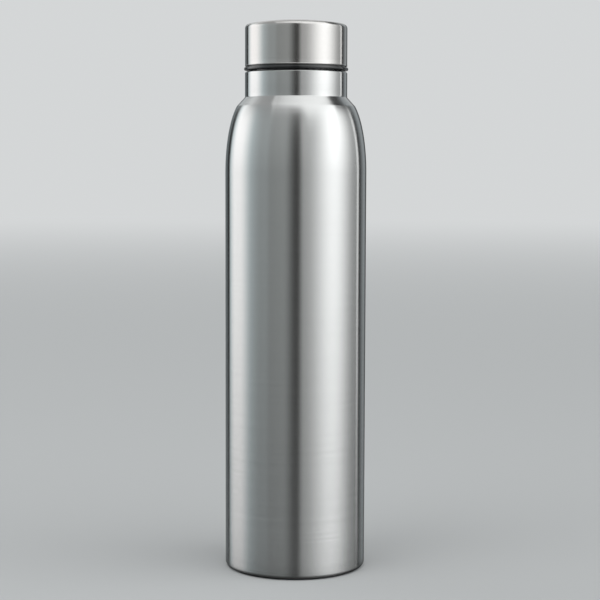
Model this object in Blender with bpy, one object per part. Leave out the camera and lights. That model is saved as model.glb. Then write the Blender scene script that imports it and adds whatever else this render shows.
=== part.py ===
"""Insulated steel water bottle with a screw cap, modelled as its separate pieces.

Metres, +Z up. The origin is the centre of the ring the bottle stands on, and Z is the axis
of the bottle, of the cap and of their thread. The values below are in millimetres, and
become metres where a mesh is made. An outline is a list of (radius, height) points.
"""
import math

import bmesh
import bpy

MM = 0.001
SEGMENTS = 48
WELD = 1e-6
GAP = 0.3

# Bottle, outside
HEIGHT = 280.0
BODY_R = 36.0
BODY_EDGE = 2.4
BOTTOM_CURL = 0.3
SHOULDER_Z = 203.0
SHOULDER_IN = 11.0
SHOULDER_UP = 38.0
SHOULDER_END = 62.5
NECK_R = 26.0
NECK_Z = 241.2
NECK_TOP_Z = 253.9
NECK_EDGE = 0.7
SHELL_WALL = 0.5

# Threaded mouth
FINISH_R = 21.9
FINISH_TOP_Z = 268.3
LIP_Z = 269.6
LIP_R = 0.7

# Liner
LINER_R = 32.0
LINER_WALL = 0.5
LINER_Z = 13.9
LINER_FLOOR_Z = 11.0
LINER_SHOULDER_Z = 200.0
LINER_SHOULDER_UP = 38.5
LINER_SHOULDER_END = 69.2
LINER_NECK_R = 21.0
LINER_NECK_Z = 240.5

# Foil wrap, from end to end
FOIL_Z = (22.0, 198.0)
FOIL_WALL = 0.15

# Bottom closures
VACUUM_BOTTOM_Z = 6.4
VACUUM_BOTTOM_WALL = 0.6
FLANGE_FALL = 2.8
DIMPLE_R = 5.0
DIMPLE_RISE = 1.0
EVACUATION_HOLE_R = 1.0
BEAD_R = 4.2
BEAD_HEIGHT = 1.4
GETTER_R = 4.2
GETTER_HEIGHT = 1.7
CLIP_WALL = 0.3
STANDING_R = (30.6, 32.6)
RECESS_Z = 2.0
BASE_WALL = 0.6
BASE_RIM = 3.0

# Thread, two starts, right hand
STARTS = 2
LEAD = 8.0
TURNS = 1.0
BOTTLE_THREAD_Z = 258.0
THREAD_DEPTH = 1.3
RIDGE_BASE = 1.1
RIDGE_CREST = 0.4
RIDGE_ROOTING = 0.25
FADE = 0.12

# Cap: heights below are above the top of the neck
CAP_R = 25.95
CAP_CORNER = 2.2
CAP_DOME_R = 144.0
COVER_WALL = 0.5
COVER_Z = 2.8
RING_Z = 0.5
RING_R = 26.5
RING_EDGE = 0.5
INSERT_R = 25.15
INSERT_BORE_R = 23.6
ROOF_Z = 17.7
ROOF_WALL = 1.6
COLLAR_R = (18.3, 19.9)
COLLAR_Z = 14.3
GASKET_R = (20.2, 23.2)

# Colour, roughness and metallic value of each piece's material
STEEL = ((0.60, 0.61, 0.62), 0.28, 1.0)
LINER_STEEL = ((0.62, 0.63, 0.63), 0.22, 1.0)
COPPER = ((0.85, 0.46, 0.30), 0.30, 1.0)
SOLDER_GLASS = ((0.10, 0.11, 0.12), 0.15, 0.0)
GETTER_ALLOY = ((0.18, 0.18, 0.19), 0.60, 1.0)
BLACK_PLASTIC = ((0.012, 0.013, 0.014), 0.22, 0.0)
FOAM = ((0.90, 0.89, 0.85), 0.90, 0.0)
SILICONE = ((0.80, 0.81, 0.80), 0.45, 0.0)


def clear_scene():
    for old in list(bpy.data.objects):
        bpy.data.objects.remove(old, do_unlink=True)


def arc(centre, radii, start, end, steps):
    """Points on an ellipse's arc, angles in degrees from the radius direction."""
    angles = [math.radians(start + (end - start) * i / steps) for i in range(steps + 1)]
    return [(centre[0] + radii[0] * math.cos(a), centre[1] + radii[1] * math.sin(a)) for a in angles]


def round_arc(centre, radius, start, end, steps):
    return arc(centre, (radius, radius), start, end, steps)


def material(name, finish):
    colour, roughness, metallic = finish
    made = bpy.data.materials.new(name)
    made.use_nodes = True
    shader = made.node_tree.nodes["Principled BSDF"]
    shader.inputs["Base Color"].default_value = (*colour, 1.0)
    shader.inputs["Roughness"].default_value = roughness
    shader.inputs["Metallic"].default_value = metallic
    return made


def add_object(name, bm, finish, parent):
    bmesh.ops.recalc_face_normals(bm, faces=bm.faces)
    mesh = bpy.data.meshes.new(name)
    bm.to_mesh(mesh)
    bm.free()
    mesh.shade_smooth()
    mesh.set_sharp_from_angle(angle=math.radians(30.0))
    made = bpy.data.objects.new(name, mesh)
    bpy.context.scene.collection.objects.link(made)
    made.data.materials.append(material(name, finish))
    made.parent = parent
    return made


def turned(name, outline, finish, parent):
    """A solid turned about the parent's Z from an outline, which is closed unless both its
    ends lie on the axis."""
    bm = bmesh.new()
    verts = [bm.verts.new((radius * MM, 0.0, height * MM)) for radius, height in outline]
    ends_on_axis = outline[0][0] == 0.0 and outline[-1][0] == 0.0
    pairs = list(zip(verts, verts[1:]))
    if not ends_on_axis:
        pairs.append((verts[-1], verts[0]))
    edges = [bm.edges.new(pair) for pair in pairs]
    bmesh.ops.spin(bm, geom=verts + edges, cent=(0.0, 0.0, 0.0), axis=(0.0, 0.0, 1.0),
                   angle=2.0 * math.pi, steps=SEGMENTS, use_duplicate=False)
    bmesh.ops.remove_doubles(bm, verts=bm.verts, dist=WELD)
    return add_object(name, bm, finish, parent)


def ridge_section(angle, share, height, root_r, crest_r):
    """Four corners of a thread ridge at one angle. share runs from 0 to 1 along the ridge,
    which rises out of the wall at one end and sinks into it at the other."""
    outward = 1.0 if crest_r > root_r else -1.0
    fade = min(1.0, share / FADE, (1.0 - share) / FADE)
    top_r = root_r + (crest_r - root_r) * fade - outward * 0.1 * (1.0 - fade)
    foot_r = root_r - outward * RIDGE_ROOTING
    corners = ((foot_r, -RIDGE_BASE), (top_r, -RIDGE_CREST), (top_r, RIDGE_CREST), (foot_r, RIDGE_BASE))
    return [(r * math.cos(angle) * MM, r * math.sin(angle) * MM, (height + z) * MM) for r, z in corners]


def add_ridge(bm, start_angle, start_z, root_r, crest_r):
    steps = round(TURNS * SEGMENTS)
    rings = []
    for i in range(steps + 1):
        turn = TURNS * i / steps
        angle = start_angle + 2.0 * math.pi * turn
        section = ridge_section(angle, i / steps, start_z + LEAD * turn, root_r, crest_r)
        rings.append([bm.verts.new(point) for point in section])
    for near, far in zip(rings, rings[1:]):
        for a in range(4):
            b = (a + 1) % 4
            bm.faces.new((near[a], near[b], far[b], far[a]))
    bm.faces.new(rings[0])
    bm.faces.new(reversed(rings[-1]))


def add_thread(wall, start_z, root_r, crest_r, parent):
    """Joins the thread's ridges to a turned wall."""
    bm = bmesh.new()
    for k in range(STARTS):
        add_ridge(bm, 2.0 * math.pi * k / STARTS, start_z, root_r, crest_r)
    ridges = add_object(wall.name + "_ridges", bm, BLACK_PLASTIC, parent)
    ridges.hide_render = True
    ridges.display_type = "WIRE"
    join = wall.modifiers.new("thread", "BOOLEAN")
    join.operation = "UNION"
    join.solver = "EXACT"
    join.object = ridges


def shell_path(inset):
    """Outer shell from its bottom edge up to the finish, inset from the outside."""
    edge_centre = (BODY_R - BODY_EDGE, BODY_EDGE)
    path = [(edge_centre[0] - BOTTOM_CURL, inset)]
    path += round_arc(edge_centre, BODY_EDGE - inset, -90.0, 0.0, 4)
    path += arc((BODY_R - SHOULDER_IN, SHOULDER_Z), (SHOULDER_IN - inset, SHOULDER_UP - inset),
                0.0, SHOULDER_END, 8)
    path.append((NECK_R - inset, NECK_Z - 0.5 * inset))
    path += round_arc((NECK_R - NECK_EDGE, NECK_TOP_Z - NECK_EDGE), NECK_EDGE - inset, 0.0, 90.0, 3)
    path += [(FINISH_R - inset, NECK_TOP_Z - inset), (FINISH_R - inset, FINISH_TOP_Z)]
    return path


def outer_shell(parent):
    outline = shell_path(0.0) + shell_path(SHELL_WALL)[::-1]
    shell = turned("outer_shell", outline, STEEL, parent)
    add_thread(shell, BOTTLE_THREAD_Z, FINISH_R, FINISH_R + THREAD_DEPTH, parent)


def liner_path(inset):
    shoulder_in = LINER_R - LINER_NECK_R
    path = [(LINER_R - inset, LINER_Z)]
    path += arc((LINER_NECK_R, LINER_SHOULDER_Z), (shoulder_in - inset, LINER_SHOULDER_UP - inset),
                0.0, LINER_SHOULDER_END, 6)
    path.append((LINER_NECK_R - inset, LINER_NECK_Z - 0.5 * inset))
    return path


def inner_liner(parent):
    """The liner's lip is rolled out over the top edge of the shell."""
    lip_centre = (LINER_NECK_R - LINER_WALL + LIP_R, LIP_Z - LIP_R)
    lip = [(LINER_NECK_R, FINISH_TOP_Z + GAP), (lip_centre[0] + LIP_R, FINISH_TOP_Z + GAP)]
    lip += round_arc(lip_centre, LIP_R, 0.0, 180.0, 6)
    turned("inner_liner", liner_path(0.0) + lip + liner_path(LINER_WALL)[::-1], LINER_STEEL, parent)


def liner_bottom(parent):
    top_z = LINER_Z - GAP
    corner = top_z - LINER_FLOOR_Z
    centre = (LINER_R - corner, top_z)
    outline = [(0.0, LINER_FLOOR_Z)]
    outline += round_arc(centre, corner, -90.0, 0.0, 5)
    outline += round_arc(centre, corner - LINER_WALL, 0.0, -90.0, 5)
    outline.append((0.0, LINER_FLOOR_Z + LINER_WALL))
    turned("liner_bottom", outline, LINER_STEEL, parent)


def radiation_foil(parent):
    inner_r = LINER_R + GAP
    outer_r = inner_r + FOIL_WALL
    low, high = FOIL_Z
    turned("radiation_foil", [(inner_r, low), (outer_r, low), (outer_r, high), (inner_r, high)], COPPER, parent)


def vacuum_bottom(parent):
    """Disc with a flange that lies against the shell, and a dimple round the hole."""
    wall = VACUUM_BOTTOM_WALL
    low = VACUUM_BOTTOM_Z
    outer_r = BODY_R - SHELL_WALL - GAP
    foot_z = low - FLANGE_FALL
    outline = [(EVACUATION_HOLE_R, low + DIMPLE_RISE), (DIMPLE_R, low + DIMPLE_RISE)]
    outline += [(DIMPLE_R + DIMPLE_RISE, low)]
    outline += [(outer_r - wall - 0.6, low), (outer_r - wall, low - 0.6), (outer_r - wall, foot_z)]
    outline += [(outer_r, foot_z)]
    outline += round_arc((outer_r - 1.0, low + wall - 1.0), 1.0, 0.0, 90.0, 2)
    outline += [(DIMPLE_R + DIMPLE_RISE + 0.3, low + wall), (DIMPLE_R + 0.3, low + wall + DIMPLE_RISE)]
    outline += [(EVACUATION_HOLE_R, low + wall + DIMPLE_RISE)]
    turned("vacuum_bottom", outline, STEEL, parent)


def seal_bead(parent):
    """Flat-topped drop of solder glass in the dimple, under the hole."""
    top_z = VACUUM_BOTTOM_Z + DIMPLE_RISE - GAP
    drop = arc((0.0, top_z - 0.3), (BEAD_R, BEAD_HEIGHT - 0.3), -90.0, 0.0, 5)
    drop[0] = (0.0, drop[0][1])
    turned("seal_bead", drop + [(BEAD_R - 0.3, top_z), (0.0, top_z)], SOLDER_GLASS, parent)


def getter(parent):
    """Pellet in a cup-shaped clip that hangs under the liner's floor."""
    clip_top = LINER_FLOOR_Z - GAP
    roof = clip_top - CLIP_WALL
    pellet_top = roof - GAP
    pellet_bottom = pellet_top - GETTER_HEIGHT
    inner_r = GETTER_R + GAP
    outer_r = inner_r + CLIP_WALL
    clip = [(0.0, roof), (inner_r, roof), (inner_r, pellet_bottom), (outer_r, pellet_bottom)]
    clip += [(outer_r, clip_top), (0.0, clip_top)]
    turned("getter_clip", clip, STEEL, parent)
    pellet = [(0.0, pellet_bottom), (GETTER_R - 0.3, pellet_bottom), (GETTER_R, pellet_bottom + 0.3)]
    pellet += [(GETTER_R, pellet_top - 0.3), (GETTER_R - 0.3, pellet_top), (0.0, pellet_top)]
    turned("getter_pellet", pellet, GETTER_ALLOY, parent)


def base_cover(parent):
    """Stamped base: a standing ring round a recessed disc, with a rim inside the shell's curl."""
    wall = BASE_WALL
    inner_r, outer_r = STANDING_R
    rim_r = BODY_R - BODY_EDGE - BOTTOM_CURL - GAP
    below = [(0.0, RECESS_Z), (inner_r - 1.6, RECESS_Z), (inner_r, 0.0), (outer_r, 0.0)]
    below += [(rim_r, 0.7), (rim_r, BASE_RIM)]
    above = [(rim_r - wall, BASE_RIM), (rim_r - wall, wall + 0.4), (outer_r - 0.4, wall)]
    above += [(inner_r + 0.5, wall), (inner_r - 1.1, RECESS_Z + wall), (0.0, RECESS_Z + wall)]
    turned("base_cover", below + above, STEEL, parent)


def cap_top_path(inset):
    """The cap's rounded corner and domed top, from the wall in to the axis."""
    corner_r = CAP_R - CAP_CORNER
    dome_z = HEIGHT - NECK_TOP_Z - CAP_DOME_R
    corner_z = dome_z + math.sqrt((CAP_DOME_R - CAP_CORNER) ** 2 - corner_r ** 2)
    lean = math.degrees(math.atan2(corner_z - dome_z, corner_r))
    path = round_arc((corner_r, corner_z), CAP_CORNER - inset, 0.0, lean, 5)
    path += round_arc((0.0, dome_z), CAP_DOME_R - inset, lean, 90.0, 4)[1:]
    path[-1] = (0.0, path[-1][1])
    return path


def cap_shell(parent):
    inside = cap_top_path(COVER_WALL)[::-1]
    lower_edge = [(CAP_R - COVER_WALL, COVER_Z), (CAP_R, COVER_Z)]
    turned("cap_shell", inside + lower_edge + cap_top_path(0.0), STEEL, parent)


def cap_foam(parent):
    """Fills the cap between the roof of the insert and the cover."""
    low = ROOF_Z + ROOF_WALL + GAP
    top = cap_top_path(COVER_WALL + GAP)
    turned("cap_foam", [(0.0, low), (top[0][0], low)] + top, FOAM, parent)


def cap_insert(parent):
    """Threaded core. Its ring stands proud under the cover, and its collar enters the mouth."""
    ring_top = COVER_Z - GAP
    roof_top = ROOF_Z + ROOF_WALL
    collar_in, collar_out = COLLAR_R
    outline = [(0.0, ROOF_Z), (collar_in, ROOF_Z), (collar_in, COLLAR_Z), (collar_out - 0.5, COLLAR_Z)]
    outline += [(collar_out, COLLAR_Z + 0.5), (collar_out, ROOF_Z), (INSERT_BORE_R, ROOF_Z)]
    outline += [(INSERT_BORE_R, RING_Z)]
    outline += round_arc((RING_R - RING_EDGE, RING_Z + RING_EDGE), RING_EDGE, -90.0, 0.0, 2)
    outline += round_arc((RING_R - RING_EDGE, ring_top - RING_EDGE), RING_EDGE, 0.0, 90.0, 2)
    outline += [(INSERT_R, ring_top), (INSERT_R, roof_top - 0.6), (INSERT_R - 0.6, roof_top), (0.0, roof_top)]
    insert = turned("cap_insert", outline, BLACK_PLASTIC, parent)
    pitch = LEAD / STARTS
    start_z = BOTTLE_THREAD_Z - NECK_TOP_Z - pitch / 2.0
    crest_r = INSERT_BORE_R - THREAD_DEPTH - 0.05
    add_thread(insert, start_z, INSERT_BORE_R, crest_r, parent)


def cap_gasket(parent):
    """Silicone ring between the lip and the roof of the insert."""
    low = LIP_Z - NECK_TOP_Z + GAP
    high = ROOF_Z - GAP
    inner_r, outer_r = GASKET_R
    outline = [(inner_r, low), (outer_r - 0.3, low), (outer_r, low + 0.3), (outer_r, high), (inner_r, high)]
    turned("cap_gasket", outline, SILICONE, parent)


def axis_empty(name, height):
    empty = bpy.data.objects.new(name, None)
    empty.location = (0.0, 0.0, height * MM)
    bpy.context.scene.collection.objects.link(empty)
    return empty


def build():
    clear_scene()
    bottle_axis = axis_empty("bottle_axis", 0.0)
    for make in (outer_shell, inner_liner, liner_bottom, radiation_foil, vacuum_bottom, seal_bead,
                 getter, base_cover):
        make(bottle_axis)
    cap_axis = axis_empty("cap_axis", NECK_TOP_Z)
    for make in (cap_shell, cap_insert, cap_foam, cap_gasket):
        make(cap_axis)


build()
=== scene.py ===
"""Looks of the insulated steel bottle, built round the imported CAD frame.

Metres, +Z up, the bottle's axis is Z. Outlines are lists of (radius, height) in metres.
"""
import math

import bpy
import numpy as np
from mathutils import Matrix, Vector


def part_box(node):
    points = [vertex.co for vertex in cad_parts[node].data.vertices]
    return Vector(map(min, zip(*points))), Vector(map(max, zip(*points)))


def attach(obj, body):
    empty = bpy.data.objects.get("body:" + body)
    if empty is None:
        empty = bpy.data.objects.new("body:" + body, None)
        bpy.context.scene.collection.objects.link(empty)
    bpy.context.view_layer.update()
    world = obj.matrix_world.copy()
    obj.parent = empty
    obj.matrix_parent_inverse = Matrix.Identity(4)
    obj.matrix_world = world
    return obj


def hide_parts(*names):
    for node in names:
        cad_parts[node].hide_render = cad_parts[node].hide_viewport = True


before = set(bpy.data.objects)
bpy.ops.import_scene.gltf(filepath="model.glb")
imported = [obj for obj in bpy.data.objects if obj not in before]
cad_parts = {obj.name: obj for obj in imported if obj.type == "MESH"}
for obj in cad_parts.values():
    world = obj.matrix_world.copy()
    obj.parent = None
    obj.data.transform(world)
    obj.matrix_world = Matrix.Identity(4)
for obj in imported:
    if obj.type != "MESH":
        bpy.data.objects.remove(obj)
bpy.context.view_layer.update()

MM = 0.001
SEGMENTS = 256

# ---------------------------------------------------------------- sizes, from the frame
shell_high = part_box("outer_shell")[1]
liner_low, liner_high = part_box("inner_liner")
floor_low, floor_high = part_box("liner_bottom")
base_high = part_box("base_cover")[1]
cover_low, cover_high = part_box("cap_shell")
core_low, core_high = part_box("cap_insert")
gasket_low, gasket_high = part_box("cap_gasket")

BODY_R = shell_high.x
FINISH_TOP = shell_high.z
LIP_TOP = liner_high.z
LINER_R = liner_high.x
CAP_R = cover_high.x
CAP_TOP = cover_high.z
COVER_Z = cover_low.z
RING_R = core_high.x
RING_Z = core_low.z
ROOF_TOP = core_high.z

# Shape of the shell, as its CAD solid has it
EDGE = 2.4 * MM
CURL = 0.3 * MM
SHOULDER_Z = 203.0 * MM
SHOULDER_IN = 11.0 * MM
SHOULDER_UP = 38.0 * MM
SHOULDER_END = 62.5
NECK_R = 26.0 * MM
NECK_Z = 241.2 * MM
NECK_TOP = 253.9 * MM
NECK_EDGE = 0.7 * MM
WALL = 0.5 * MM
FINISH_R = 21.9 * MM

# Thread
STARTS = 2
LEAD = 8.0 * MM
TURNS = 1.0
THREAD_Z = 258.0 * MM
THREAD_DEPTH = 1.25 * MM
RIDGE_HALF = 1.45 * MM
THREAD_STEP = 0.1 * MM
THREAD_SHARP = 62.0
RIDGE_FADE = 0.12


# ---------------------------------------------------------------- mesh helpers
def arc(centre, radii, start, end, steps):
    """Points on an ellipse's arc, angles in degrees from the radius direction."""
    angles = np.radians(np.linspace(start, end, steps + 1))
    return [(centre[0] + radii[0] * math.cos(a), centre[1] + radii[1] * math.sin(a)) for a in angles]


def rounded(points, radii, steps=6):
    """The polyline with each corner replaced by an arc of its radius; 0 keeps the corner."""
    path = []
    count = len(points)
    for i, (point, radius) in enumerate(zip(points, radii)):
        if radius == 0.0 or i in (0, count - 1):
            path.append(tuple(point))
            continue
        corner = Vector(point)
        back = (Vector(points[i - 1]) - corner).normalized()
        ahead = (Vector(points[i + 1]) - corner).normalized()
        half = back.angle(ahead) / 2.0
        reach = radius / math.tan(half)
        centre = corner + (back + ahead).normalized() * (radius / math.sin(half))
        first = corner + back * reach - centre
        sweep = first.angle_signed(corner + ahead * reach - centre)
        for k in range(steps + 1):
            turned = first.copy()
            turned.rotate(Matrix.Rotation(-sweep * k / steps, 2))
            path.append(tuple(centre + turned))
    return path


def dense(path, longest):
    """The path with its long straight runs divided."""
    out = [path[0]]
    for (r0, z0), (r1, z1) in zip(path, path[1:]):
        parts = max(1, math.ceil(math.hypot(r1 - r0, z1 - z0) / longest))
        out += [(r0 + (r1 - r0) * k / parts, z0 + (z1 - z0) * k / parts) for k in range(1, parts + 1)]
    return out


def lathe(name, outline, relief=None, sharp=32.0):
    """A solid turned about Z. The outline is closed unless both its ends lie on the axis,
    relief(angle, radius, height) adds to the radius, and edges over sharp degrees stay crisp."""
    on_axis = outline[0][0] == 0.0 and outline[-1][0] == 0.0
    angles = np.linspace(0.0, 2.0 * math.pi, SEGMENTS, endpoint=False)
    verts, rings = [], []
    for r, z in outline:
        start = len(verts)
        if r == 0.0:
            verts.append((0.0, 0.0, z))
            rings.append([start] * SEGMENTS)
            continue
        radii = np.full(SEGMENTS, r) if relief is None else r + relief(angles, r, z)
        verts += list(zip(radii * np.cos(angles), radii * np.sin(angles), np.full(SEGMENTS, z)))
        rings.append(range(start, start + SEGMENTS))
    faces = []
    pairs = list(zip(rings, rings[1:])) + ([] if on_axis else [(rings[-1], rings[0])])
    for low, high in pairs:
        for i in range(SEGMENTS):
            j = (i + 1) % SEGMENTS
            faces.append(list(dict.fromkeys((low[i], low[j], high[j], high[i]))))
    mesh = bpy.data.meshes.new(name)
    mesh.from_pydata(verts, [], faces)
    mesh.shade_smooth()
    mesh.set_sharp_from_angle(angle=math.radians(sharp))
    made = bpy.data.objects.new(name, mesh)
    bpy.context.scene.collection.objects.link(made)
    return made


def thread_relief(root_r, start_z, low_z, high_z, sign):
    """Rounded helical ridges on the wall at root_r, fading in and out at their ends."""
    def relief(angles, r, z):
        if abs(r - root_r) > 1e-6 or not low_z <= z <= high_z:
            return np.zeros(len(angles))
        height = np.zeros(len(angles))
        for k in range(STARTS):
            lag = (angles / (2.0 * math.pi) - k / STARTS) % 1.0
            for turn in (lag, lag + 1.0):
                away = np.clip(np.abs(z - start_z - LEAD * turn) / RIDGE_HALF, 0.0, 1.0)
                bump = np.cos(0.5 * math.pi * away ** 1.5) ** 2
                ends = np.clip(np.minimum(turn, TURNS - turn) / RIDGE_FADE, 0.0, 1.0)
                height = np.maximum(height, bump * np.sin(0.5 * math.pi * ends))
        return sign * THREAD_DEPTH * height
    return relief


# ---------------------------------------------------------------- material helpers
def add(tree, kind, inputs=None, **settings):
    """A node of that kind; inputs are values or the sockets to link."""
    made = tree.nodes.new(kind)
    for key, value in settings.items():
        setattr(made, key, value)
    for key, value in (inputs or {}).items():
        if isinstance(value, bpy.types.NodeSocket):
            tree.links.new(value, made.inputs[key])
        else:
            made.inputs[key].default_value = value
    return made


def calc(tree, operation, a, b=0.0):
    return add(tree, "ShaderNodeMath", {0: a, 1: b}, operation=operation).outputs[0]


def remap(tree, value, from_low, from_high, to_low, to_high, smooth=False):
    kind = "SMOOTHSTEP" if smooth else "LINEAR"
    made = add(tree, "ShaderNodeMapRange", interpolation_type=kind,
               inputs={"Value": value, "From Min": from_low, "From Max": from_high,
                       "To Min": to_low, "To Max": to_high})
    return made.outputs["Result"]


def noise(tree, vector, scale, detail=2.0, roughness=0.5):
    made = add(tree, "ShaderNodeTexNoise", {"Vector": vector, "Scale": scale, "Detail": detail,
                                            "Roughness": roughness})
    return made.outputs["Fac"]


def stretched(tree, where, across, along):
    """Coordinates whose noise runs in rings about Z: across is the scale round the piece, and
    along the scale up its wall or in over its end."""
    parts = add(tree, "ShaderNodeSeparateXYZ", {"Vector": where})
    x, y, z = (parts.outputs[k] for k in "XYZ")
    squares = calc(tree, "ADD", calc(tree, "MULTIPLY", x, x), calc(tree, "MULTIPLY", y, y))
    radius = calc(tree, "SQRT", squares)
    run = calc(tree, "MULTIPLY", calc(tree, "SUBTRACT", z, radius), along)
    made = add(tree, "ShaderNodeCombineXYZ", {"X": calc(tree, "MULTIPLY", x, across),
                                              "Y": calc(tree, "MULTIPLY", y, across), "Z": run})
    return made.outputs["Vector"]


def blended(tree, factor, dark, light):
    made = add(tree, "ShaderNodeMix", data_type="RGBA")
    tree.links.new(factor, made.inputs[0])
    made.inputs[6].default_value = (*dark, 1.0)
    made.inputs[7].default_value = (*light, 1.0)
    return made.outputs[2]


def new_material(name):
    made = bpy.data.materials.new(name)
    made.use_nodes = True
    tree = made.node_tree
    shader = tree.nodes["Principled BSDF"]
    where = add(tree, "ShaderNodeTexCoord").outputs["Object"]
    return made, tree, shader, where


def brushed_steel(name, colour, roughness, anisotropy, line_depth, cloudiness=0.03):
    """Steel brushed round its axis: fine rings, with soft blotches in the finish."""
    made, tree, shader, where = new_material(name)
    fine = noise(tree, stretched(tree, where, 25.0, 7000.0), 1.0, 3.0, 0.65)
    coarse = noise(tree, stretched(tree, where, 9.0, 1500.0), 1.0, 2.0, 0.55)
    cloud = noise(tree, where, 28.0, 3.0, 0.55)
    lines = calc(tree, "ADD", calc(tree, "MULTIPLY", fine, 0.65), calc(tree, "MULTIPLY", coarse, 0.35))
    tone = remap(tree, lines, 0.3, 0.7, 0.0, 1.0)
    shade = [c * 0.955 for c in colour]
    light = [min(1.0, c * 1.04) for c in colour]
    tree.links.new(blended(tree, tone, shade, light), shader.inputs["Base Color"])
    rough = calc(tree, "ADD", remap(tree, cloud, 0.3, 0.7, -cloudiness, cloudiness),
                 remap(tree, coarse, 0.3, 0.7, -0.02, 0.02))
    tree.links.new(calc(tree, "ADD", rough, roughness), shader.inputs["Roughness"])
    bump = add(tree, "ShaderNodeBump", {"Strength": 1.0, "Distance": line_depth, "Height": lines})
    tree.links.new(bump.outputs["Normal"], shader.inputs["Normal"])
    tangent = add(tree, "ShaderNodeTangent", direction_type="RADIAL", axis="Z")
    tree.links.new(tangent.outputs["Tangent"], shader.inputs["Tangent"])
    shader.inputs["Metallic"].default_value = 1.0
    shader.inputs["Anisotropic"].default_value = anisotropy
    shader.inputs["Anisotropic Rotation"].default_value = 0.25
    return made


def moulded_plastic(name, colour, roughness, grain):
    made, tree, shader, where = new_material(name)
    speckle = noise(tree, where, 2600.0, 2.0, 0.6)
    cloud = noise(tree, where, 60.0, 2.0, 0.5)
    light = [c * 1.5 + 0.004 for c in colour]
    tree.links.new(blended(tree, cloud, colour, light), shader.inputs["Base Color"])
    rough = remap(tree, cloud, 0.3, 0.7, roughness - 0.03, roughness + 0.04)
    tree.links.new(rough, shader.inputs["Roughness"])
    bump = add(tree, "ShaderNodeBump", {"Strength": 1.0, "Distance": grain, "Height": speckle})
    tree.links.new(bump.outputs["Normal"], shader.inputs["Normal"])
    shader.inputs["Specular IOR Level"].default_value = 0.9
    return made


def silicone(name):
    made, tree, shader, where = new_material(name)
    cloud = noise(tree, where, 90.0, 3.0, 0.5)
    colour = blended(tree, cloud, (0.70, 0.71, 0.70), (0.80, 0.81, 0.80))
    tree.links.new(colour, shader.inputs["Base Color"])
    tree.links.new(remap(tree, cloud, 0.3, 0.7, 0.38, 0.48), shader.inputs["Roughness"])
    bump = add(tree, "ShaderNodeBump", {"Strength": 1.0, "Distance": 4e-6,
                                        "Height": noise(tree, where, 1800.0)})
    tree.links.new(bump.outputs["Normal"], shader.inputs["Normal"])
    shader.inputs["Subsurface Weight"].default_value = 0.35
    shader.inputs["Subsurface Radius"].default_value = (0.8, 0.8, 0.8)
    shader.inputs["Subsurface Scale"].default_value = 0.0015
    return made


def granular(name, dark, light, scale, roughness, metallic, depth):
    """Foam, sintered metal, glass or crumpled foil, by its scale and depth."""
    made, tree, shader, where = new_material(name)
    cells = add(tree, "ShaderNodeTexVoronoi", {"Vector": where, "Scale": scale}).outputs["Distance"]
    grain = noise(tree, where, scale * 2.0, 3.0, 0.6)
    mixed = calc(tree, "MULTIPLY", calc(tree, "ADD", cells, grain), 0.5)
    tree.links.new(blended(tree, mixed, dark, light), shader.inputs["Base Color"])
    rough = remap(tree, grain, 0.2, 0.8, roughness - 0.05, roughness + 0.05)
    tree.links.new(rough, shader.inputs["Roughness"])
    bump = add(tree, "ShaderNodeBump", {"Strength": 1.0, "Distance": depth, "Height": mixed})
    tree.links.new(bump.outputs["Normal"], shader.inputs["Normal"])
    shader.inputs["Metallic"].default_value = metallic
    return made


STEEL_COLOUR = (0.622, 0.625, 0.620)
shell_steel = brushed_steel("shell_steel", STEEL_COLOUR, 0.195, 1.0, 3e-7, 0.008)
cap_steel = brushed_steel("cap_steel", (0.622, 0.609, 0.595), 0.195, 1.0, 4e-7, 0.008)
base_steel = brushed_steel("base_steel", STEEL_COLOUR, 0.30, 0.9, 7e-6)
liner_steel = brushed_steel("liner_steel", (0.63, 0.635, 0.635), 0.30, 0.6, 4e-6)
hidden_steel = brushed_steel("hidden_steel", (0.58, 0.59, 0.60), 0.35, 0.5, 4e-6)
black_plastic = moulded_plastic("black_plastic", (0.008, 0.009, 0.0095), 0.15, 1.5e-6)
clear_silicone = silicone("clear_silicone")
copper_foil = granular("copper_foil", (0.80, 0.40, 0.25), (0.92, 0.52, 0.36), 220.0, 0.25, 1.0, 6e-5)
solder_glass = granular("solder_glass", (0.05, 0.055, 0.06), (0.12, 0.125, 0.13), 900.0, 0.15, 0.0, 3e-6)
getter_alloy = granular("getter_alloy", (0.12, 0.12, 0.125), (0.26, 0.26, 0.27), 3500.0, 0.6, 0.9, 2e-5)
foam = granular("foam", (0.78, 0.77, 0.72), (0.93, 0.92, 0.88), 2500.0, 0.9, 0.0, 5e-5)


def place(piece, material, body, node):
    """Dresses a piece, and makes it ride its body in place of the CAD node."""
    piece.data.materials.append(material)
    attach(piece, body)
    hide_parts(node)


# ---------------------------------------------------------------- the bottle
def shell_path(inset):
    """Outer wall from the hem of its bottom edge up to the finish, inset from the outside."""
    edge_centre = (BODY_R - EDGE, EDGE)
    hem = edge_centre[0] - CURL
    path = [(hem, inset)]
    path += arc(edge_centre, (EDGE - inset,) * 2, -90.0, 0.0, 10)
    wall_top = (BODY_R - inset, SHOULDER_Z)
    path += dense([path[-1], wall_top], 20.0 * MM)[1:-1]
    shoulder = arc((BODY_R - SHOULDER_IN, SHOULDER_Z), (SHOULDER_IN - inset, SHOULDER_UP - inset),
                   0.0, SHOULDER_END, 30)
    path += shoulder[:-1]
    cone_top = (NECK_R - inset, NECK_Z - 0.5 * inset)
    corners = [shoulder[-2], shoulder[-1], cone_top, (cone_top[0], cone_top[1] + 3.0 * MM)]
    path += rounded(corners, [0.0, 0.6 * MM, 0.9 * MM, 0.0], 6)[1:]
    path += arc((NECK_R - NECK_EDGE, NECK_TOP - NECK_EDGE), (NECK_EDGE - inset,) * 2, 0.0, 90.0, 8)
    return path


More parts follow.
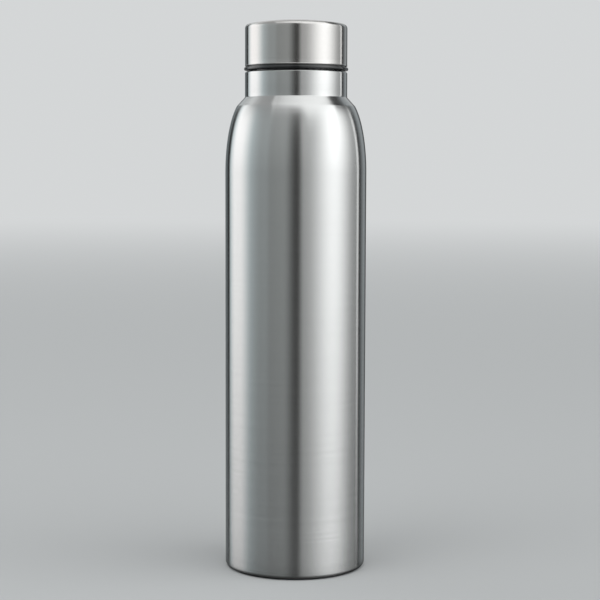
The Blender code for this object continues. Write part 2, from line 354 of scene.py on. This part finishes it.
def bottle_shell():
    finish = np.arange(NECK_TOP + 0.6 * MM, FINISH_TOP, THREAD_STEP)
    ledge = arc((FINISH_R + 0.5 * MM, NECK_TOP + 0.5 * MM), (0.5 * MM,) * 2, 270.0, 180.0, 5)
    outer = shell_path(0.0) + ledge + [(FINISH_R, z) for z in finish] + [(FINISH_R, FINISH_TOP)]
    inner = shell_path(WALL)[::-1]
    finish_in = [(FINISH_R - WALL, FINISH_TOP), (FINISH_R - WALL, NECK_TOP - WALL)]
    relief = thread_relief(FINISH_R, THREAD_Z, NECK_TOP + 0.55 * MM, FINISH_TOP, 1.0)
    shell = lathe("bottle_shell", outer + finish_in + inner, relief, THREAD_SHARP)
    place(shell, shell_steel, "bottle", "outer_shell")


def bottle_liner():
    """The inner wall, with its lip rolled out over the top edge of the shell."""
    wall = 0.5 * MM
    neck_r, neck_z = 21.0 * MM, 240.5 * MM
    shoulder_z, shoulder_up, shoulder_end = 200.0 * MM, 38.5 * MM, 69.2
    lip_r = 0.7 * MM
    weld_gap = 0.05 * MM

    def path(inset):
        points = dense([(LINER_R - inset, liner_low.z), (LINER_R - inset, shoulder_z)], 20.0 * MM)[:-1]
        curve = arc((neck_r, shoulder_z), (LINER_R - neck_r - inset, shoulder_up - inset),
                    0.0, shoulder_end, 24)
        top = (neck_r - inset, neck_z - 0.5 * inset)
        corners = [curve[-2], curve[-1], top, (top[0], top[1] + 4.0 * MM)]
        return points + curve[:-1] + rounded(corners, [0.0, 3.0 * MM, 1.5 * MM, 0.0], 5)[1:]

    lip_centre = (neck_r - wall + lip_r, LIP_TOP - lip_r)
    under = FINISH_TOP + weld_gap
    lip = rounded([(neck_r, under - 4.0 * MM), (neck_r, under), (lip_centre[0] + lip_r, under),
                   (lip_centre[0] + lip_r, lip_centre[1])], [0.0, 0.2 * MM, 0.15 * MM, 0.0], 4)
    lip += arc(lip_centre, (lip_r, lip_r), 0.0, 180.0, 16)[1:]
    place(lathe("bottle_liner", path(0.0) + lip + path(wall)[::-1]), liner_steel, "bottle", "inner_liner")


def liner_floor():
    """Pressed disc with a low dome in its middle, butt-welded to the liner."""
    wall = 0.5 * MM
    corner = floor_high.z - floor_low.z
    centre = (LINER_R - corner, floor_high.z)
    below = [(0.0, floor_low.z)] + arc(centre, (corner, corner), -90.0, 0.0, 14)
    above = arc(centre, (corner - wall,) * 2, 0.0, -90.0, 14)
    dome = [(r * MM, floor_low.z + wall + 0.9 * MM * math.cos(math.pi * r / 40.0) ** 2)
            for r in (18.0, 16.0, 14.0, 12.0, 10.0, 8.0, 6.0, 4.0, 2.0, 0.0)]
    place(lathe("liner_floor", below + above + dome), liner_steel, "bottle", "liner_bottom")


def base_plate():
    """Stamped base: the ring it stands on, a stepped recess and a rim inside the shell's hem."""
    wall = 0.6 * MM
    rim_r = base_high.x + 0.15 * MM
    top = base_high.z
    ring_in, ring_out, recess = 30.6 * MM, 32.6 * MM, 2.0 * MM
    under = [(0.0, recess - 0.5 * MM), (9.0 * MM, recess - 0.5 * MM), (10.2 * MM, recess),
             (ring_in - 1.6 * MM, recess), (ring_in, 0.0), (ring_out, 0.0), (rim_r, 0.7 * MM), (rim_r, top)]
    below = rounded(under, [0.0, 0.8 * MM, 0.8 * MM, 0.7 * MM, 0.6 * MM, 0.5 * MM, 0.4 * MM, 0.0], 6)
    over = [(rim_r - wall, top), (rim_r - wall, wall + 0.4 * MM), (ring_out - 0.4 * MM, wall),
            (ring_in + 0.5 * MM, wall), (ring_in - 1.1 * MM, recess + wall), (0.0, recess + wall)]
    place(lathe("base_plate", below + over), base_steel, "bottle", "base_cover")


# ---------------------------------------------------------------- the cap
CAP_CORNER = 2.2 * MM
CAP_DOME_R = 144.0 * MM
COVER_WALL = 0.5 * MM


def cap_top_path(inset):
    """Rounded corner and low dome, from the wall in to the axis."""
    corner_r = CAP_R - CAP_CORNER
    dome_z = CAP_TOP - CAP_DOME_R
    corner_z = dome_z + math.sqrt((CAP_DOME_R - CAP_CORNER) ** 2 - corner_r ** 2)
    lean = math.degrees(math.atan2(corner_z - dome_z, corner_r))
    path = arc((corner_r, corner_z), (CAP_CORNER - inset,) * 2, 0.0, lean, 14)
    path += arc((0.0, dome_z), (CAP_DOME_R - inset,) * 2, lean, 90.0, 16)[1:]
    path[-1] = (0.0, path[-1][1])
    return path


def cap_cover():
    hem = 0.25 * MM
    inner_r = CAP_R - COVER_WALL
    outer = cap_top_path(0.0)
    lower = arc((CAP_R - hem, COVER_Z + hem), (hem, hem), -180.0, -30.0, 10)
    bead_z = COVER_Z + 0.40 * MM
    lower += [(CAP_R + 0.11 * MM * math.cos(math.pi * k / 12.0) ** 2, bead_z + 0.5 * MM * k / 12.0)
              for k in range(-4, 7)]
    wall = dense([lower[-1], outer[0]], 2.5 * MM)[1:-1]
    inside = cap_top_path(COVER_WALL)[::-1] + [(inner_r, COVER_Z + 2.0 * MM)]
    place(lathe("cap_cover", inside + lower + wall + outer), cap_steel, "cap", "cap_shell")


def cap_core():
    """Threaded core: the proud ring, the threaded bore, the roof and the collar in the mouth."""
    bore_r = 23.6 * MM
    skirt_r = 25.15 * MM
    roof = ROOF_TOP - 1.6 * MM
    collar_in, collar_out, collar_z = 18.3 * MM, 19.9 * MM, 268.2 * MM
    ring_top = COVER_Z - 0.5 * MM
    ring_low = RING_Z + 0.25 * MM
    edge = 0.45 * MM
    crown = 0.12 * MM
    inside = rounded([(0.0, roof - 0.35 * MM), (3.2 * MM, roof - 0.35 * MM), (3.6 * MM, roof),
                      (collar_in, roof), (collar_in, collar_z), (collar_out, collar_z), (collar_out, roof),
                      (bore_r, roof)],
                     [0.0, 0.1 * MM, 0.1 * MM, 0.5 * MM, 0.3 * MM, 0.5 * MM, 0.3 * MM, 0.0], 5)
    bore = [(bore_r, z) for z in np.arange(roof - 0.2 * MM, RING_Z + 0.5 * MM, -THREAD_STEP)]
    mouth = arc((bore_r + 0.4 * MM, RING_Z + 0.4 * MM), (0.4 * MM,) * 2, 180.0, 270.0, 5)
    face_r = RING_R - crown
    ring = [(RING_R - 1.4 * MM, RING_Z), (RING_R - 1.15 * MM, ring_low)]
    ring += arc((face_r - edge, ring_low + edge), (edge, edge), -90.0, 0.0, 6)
    middle = (ring_low + ring_top) / 2.0
    ring += [(RING_R, middle)]
    ring += arc((face_r - edge, ring_top - edge), (edge, edge), 0.0, 90.0, 6)
    skirt = [(skirt_r, ring_top), (skirt_r, ROOF_TOP - 0.6 * MM), (skirt_r - 0.6 * MM, ROOF_TOP),
             (0.0, ROOF_TOP)]
    relief = thread_relief(bore_r, THREAD_Z - LEAD / STARTS / 2.0, RING_Z + 0.5 * MM, roof, -1.0)
    core = lathe("cap_core", inside + bore + mouth + ring + skirt, relief, THREAD_SHARP)
    place(core, black_plastic, "cap", "cap_insert")


def cap_seal():
    """Silicone ring with the shallow groove that the lip presses into it."""
    inner_r, outer_r = 20.2 * MM, gasket_high.x
    low, high = gasket_low.z, gasket_high.z
    groove = 0.12 * MM
    points = [(inner_r, high), (inner_r, low), (inner_r + 0.5 * MM, low),
              (inner_r + 0.7 * MM, low + groove), (inner_r + 1.4 * MM, low + groove),
              (inner_r + 1.6 * MM, low), (outer_r, low), (outer_r, high)]
    radii = [0.0, 0.2 * MM, 0.05 * MM, 0.05 * MM, 0.05 * MM, 0.05 * MM, 0.3 * MM, 0.0]
    place(lathe("cap_seal", rounded(points, radii, 5)), clear_silicone, "seal", "cap_gasket")


for build in (bottle_shell, bottle_liner, liner_floor, base_plate, cap_cover, cap_core, cap_seal):
    build()

KEPT_NODES = {"radiation_foil": copper_foil, "vacuum_bottom": hidden_steel, "seal_bead": solder_glass,
              "getter_clip": hidden_steel, "getter_pellet": getter_alloy, "cap_foam": foam}
for node_name, node_material in KEPT_NODES.items():
    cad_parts[node_name].material_slots[0].material = node_material


# ---------------------------------------------------------------- floor, light and camera
FLOOR_HALF = 30.0
TABLE_SHARE = 0.43
# width of the painted contact shadow on the reflected table round the bottle's foot
PAINTED_SHADOW_WIDTH = 14.0 * MM
CAMERA_PLACE = (0.0, -0.8258, 0.20985)
CAMERA_PITCH, CAMERA_YAW, CAMERA_ROLL = -4.99, -0.16, 0.17
CAMERA_LENS = 96.66
BACKDROP = (0.66, 0.675, 0.68, 1.0)
NEUTRAL = (0.985, 1.0, 1.0)
TEAL = (0.82, 1.0, 1.06)
AMBIENT = (0.020, 0.020, 0.020)


def stage_floor():
    """Pale floor that fades into the backdrop. In reflections it is a darker, glossier table,
    partly clear, and solid and nearly black close round the bottle's foot: a painted contact shadow."""
    size = FLOOR_HALF
    mesh = bpy.data.meshes.new("floor")
    mesh.from_pydata([(-size, -size, 0.0), (size, -size, 0.0), (size, size, 0.0), (-size, size, 0.0)],
                     [], [(0, 1, 2, 3)])
    floor = bpy.data.objects.new("floor", mesh)
    bpy.context.scene.collection.objects.link(floor)
    made, tree, shader, where = new_material("pale_floor")
    shader.inputs["Roughness"].default_value = 0.35
    pale = add(tree, "ShaderNodeBsdfDiffuse", {"Color": (0.50, 0.51, 0.515, 1.0)})
    far = add(tree, "ShaderNodeEmission", {"Color": BACKDROP})
    away = add(tree, "ShaderNodeVectorMath", {0: where}, operation="LENGTH").outputs["Value"]
    fade = add(tree, "ShaderNodeMixShader", {0: remap(tree, away, 0.5, 5.0, 0.0, 1.0, smooth=True),
                                             1: pale.outputs[0], 2: far.outputs[0]})
    # painted contact shadow: the reflected table's colour goes from dark grey to nearly black close round
    # the foot
    painted_contact_shadow = remap(tree, away, BODY_R, BODY_R + PAINTED_SHADOW_WIDTH, 1.0, 0.0, smooth=True)
    colour = blended(tree, painted_contact_shadow, (0.22, 0.225, 0.227), (0.02, 0.02, 0.02))
    tree.links.new(colour, shader.inputs["Base Color"])
    solid = calc(tree, "DIVIDE", TABLE_SHARE, calc(tree, "ADD", 1.0, calc(tree, "DIVIDE", away, 0.7)))
    # the painted contact shadow also makes the reflected table fully solid round the foot
    solid = calc(tree, "MAXIMUM", solid, painted_contact_shadow)
    clear = add(tree, "ShaderNodeBsdfTransparent")
    table = add(tree, "ShaderNodeMixShader", {0: solid, 1: clear.outputs[0], 2: shader.outputs[0]})
    path = add(tree, "ShaderNodeLightPath")
    mix = add(tree, "ShaderNodeMixShader", {0: path.outputs["Is Glossy Ray"], 1: fade.outputs[0],
                                            2: table.outputs[0]})
    tree.links.new(mix.outputs[0], tree.nodes["Material Output"].inputs["Surface"])
    mesh.materials.append(made)


def studio_world():
    """Soft boxes painted on the sky by direction, azimuth in degrees from the camera's side,
    positive to the right. Each has the azimuths where it rises and falls, and the heights
    (sine of the elevation) where it starts and ends. A few slant or lean, and two overhead
    fields, a ceiling and a panel, are set by the direction's x, y and z. Edges, levels and
    tints were fitted so that the bottle's reflections match the reference photograph's,
    so they are that photograph's lighting and not a general studio. Camera rays see the plain
    backdrop instead."""
    world = bpy.data.worlds.new("studio")
    bpy.context.scene.world = world
    world.use_nodes = True
    tree = world.node_tree
    tree.nodes.clear()
    direction = add(tree, "ShaderNodeTexCoord").outputs["Generated"]
    parts = add(tree, "ShaderNodeSeparateXYZ", {"Vector": direction})
    x, y, z = (parts.outputs[k] for k in "XYZ")
    bearing = calc(tree, "ARCTAN2", x, calc(tree, "MULTIPLY", y, -1.0))
    azimuth = calc(tree, "MULTIPLY", bearing, 180.0 / math.pi)
    off_back = calc(tree, "SUBTRACT", 180.0, calc(tree, "ABSOLUTE", azimuth))

    def window(value, rise, fall):
        up = remap(tree, value, rise[0], rise[1], 0.0, 1.0, smooth=True)
        down = remap(tree, value, fall[0], fall[1], 1.0, 0.0, smooth=True)
        return calc(tree, "MULTIPLY", up, down)

    back = calc(tree, "MAXIMUM", calc(tree, "SUBTRACT", azimuth, 90.0), 0.0)
    slanted = calc(tree, "ADD", z, calc(tree, "MULTIPLY", back, 0.006))
    leaning = calc(tree, "SUBTRACT", azimuth, calc(tree, "MULTIPLY", z, 25.0))
    gradient = calc(tree, "ADD", remap(tree, z, -0.5, 0.0, 0.42, 1.06),
                    remap(tree, z, 0.0, 0.2, 0.0, 0.16))

    def box(rise, fall, level, tint=NEUTRAL, heights=((-0.9, -0.6), (0.50, 0.70)), value=azimuth,
            up=z):
        over = calc(tree, "MULTIPLY", window(up, *heights), gradient)
        amount = calc(tree, "MULTIPLY", calc(tree, "MULTIPLY", window(value, rise, fall), over), level)
        scaled = add(tree, "ShaderNodeVectorMath", {0: tint, "Scale": amount}, operation="SCALE")
        return scaled.outputs[0]

    left, left_top = ((-0.75, -0.10), (0.50, 0.72)), ((-0.75, -0.10), (0.27, 0.68))
    boxes = [
        box((-141.0, -133.0), (-20.0, 1.0), 0.30, (0.94, 1.0, 1.0), left),
        box((-141.0, -133.0), (-51.0, -41.0), 0.07, TEAL, left),
        box((-141.0, -133.0), (-95.0, -58.0), 0.35, TEAL, left_top),
        box((-138.0, -118.0), (-105.0, -76.0), 0.60, (1.16, 1.0, 0.96), left_top),
        box((-172.0, -152.0), (-130.0, -118.0), 0.38, heights=((0.20, 0.50), (0.62, 0.85))),
        box((-172.0, -166.0), (-152.0, -147.0), 0.14, (0.85, 1.0, 1.05)),
        box((2.5, 14.0), (115.0, 118.0), 0.41, (0.975, 1.0, 1.0), up=slanted),
        box((12.0, 64.0), (64.0, 114.0), 1.15, (0.99, 1.0, 1.005), value=leaning, up=slanted),
        box((115.5, 116.5), (122.0, 123.0), 0.15, up=slanted),
        box((117.5, 118.5), (124.5, 125.5), 0.85, heights=((-0.10, 0.12), (0.50, 0.70)),
            up=slanted),
        box((125.0, 148.0), (150.0, 166.0), 0.30, (0.92, 1.0, 1.04)),
        box((-12.0, -6.0), (6.0, 12.0), 0.25, value=off_back),
        box((-60.0, -50.0), (14.0, 34.0), 0.38, heights=((0.16, 0.30), (0.62, 0.85)),
            value=off_back),
        box((-45.0, -20.0), (20.0, 45.0), 0.03, (0.99, 1.0, 0.96)),
    ]
    ceiling = calc(tree, "MULTIPLY", remap(tree, x, -0.25, 0.10, 0.42, 0.0),
                   remap(tree, z, 0.52, 0.74, 0.0, 1.0, smooth=True))
    across = calc(tree, "SUBTRACT", x, calc(tree, "MULTIPLY", calc(tree, "SUBTRACT", y, 0.1), 0.34))
    front = calc(tree, "ADD", y, calc(tree, "MULTIPLY", x, 0.35))
    past = calc(tree, "MAXIMUM", calc(tree, "SUBTRACT", x, 0.47))
    rear = calc(tree, "ADD", y, calc(tree, "MULTIPLY", past, 0.8))
    panel = calc(tree, "MULTIPLY", window(across, (-0.43, -0.40), (0.85, 1.00)),
                 remap(tree, front, -0.68, -0.58, 0.0, 1.0, smooth=True))
    panel = calc(tree, "MULTIPLY", panel, remap(tree, rear, 0.24, 0.42, 1.0, 0.0, smooth=True))
    panel = calc(tree, "MULTIPLY", panel, remap(tree, across, -0.30, 0.20, 0.42, 1.40))
    panel = calc(tree, "MULTIPLY", panel, remap(tree, z, 0.50, 0.66, 0.0, 1.0, smooth=True))
    total = add(tree, "ShaderNodeVectorMath", {0: NEUTRAL, "Scale": calc(tree, "ADD", ceiling, panel)},
                operation="SCALE").outputs[0]
    ambient = add(tree, "ShaderNodeVectorMath", {0: AMBIENT, "Scale": remap(tree, z, -0.3, 0.5, 0.9, 2.2)},
                  operation="SCALE").outputs[0]
    for level in [ambient] + boxes:
        total = add(tree, "ShaderNodeVectorMath", {0: total, 1: level}, operation="ADD").outputs[0]
    path = add(tree, "ShaderNodeLightPath")
    seen = add(tree, "ShaderNodeMix", data_type="RGBA")
    tree.links.new(path.outputs["Is Camera Ray"], seen.inputs[0])
    tree.links.new(total, seen.inputs[6])
    seen.inputs[7].default_value = BACKDROP
    background = add(tree, "ShaderNodeBackground", {"Color": seen.outputs[2]})
    output = add(tree, "ShaderNodeOutputWorld")
    tree.links.new(background.outputs[0], output.inputs["Surface"])


def soft_light(name, place_at, size, watts):
    """Large lamp for the floor and the matt parts, which steel doesn't mirror."""
    data = bpy.data.lights.new(name, "AREA")
    data.shape = "DISK"
    data.size = size
    data.energy = watts
    lamp = bpy.data.objects.new(name, data)
    lamp.location = place_at
    lamp.rotation_euler = (Vector((0.0, 0.0, 0.1)) - Vector(place_at)).to_track_quat("-Z", "Y").to_euler()
    lamp.visible_glossy = False
    lamp.visible_camera = False
    bpy.context.scene.collection.objects.link(lamp)


def camera():
    data = bpy.data.cameras.new("camera")
    data.sensor_width = 36.0
    data.lens = CAMERA_LENS
    cam = bpy.data.objects.new("camera", data)
    bpy.context.scene.collection.objects.link(cam)
    pitch, yaw, roll = (math.radians(a) for a in (CAMERA_PITCH, CAMERA_YAW, CAMERA_ROLL))
    turn = Matrix.Rotation(yaw, 4, "Z") @ Matrix.Rotation(math.radians(90.0) + pitch, 4, "X")
    turn = turn @ Matrix.Rotation(roll, 4, "Z")
    cam.matrix_world = Matrix.Translation(CAMERA_PLACE) @ turn
    bpy.context.scene.camera = cam


stage_floor()
studio_world()
soft_light("soft_key", (-0.9, -0.7, 1.7), 1.4, 8.0)
camera()
bpy.context.scene.view_settings.view_transform = "Standard"
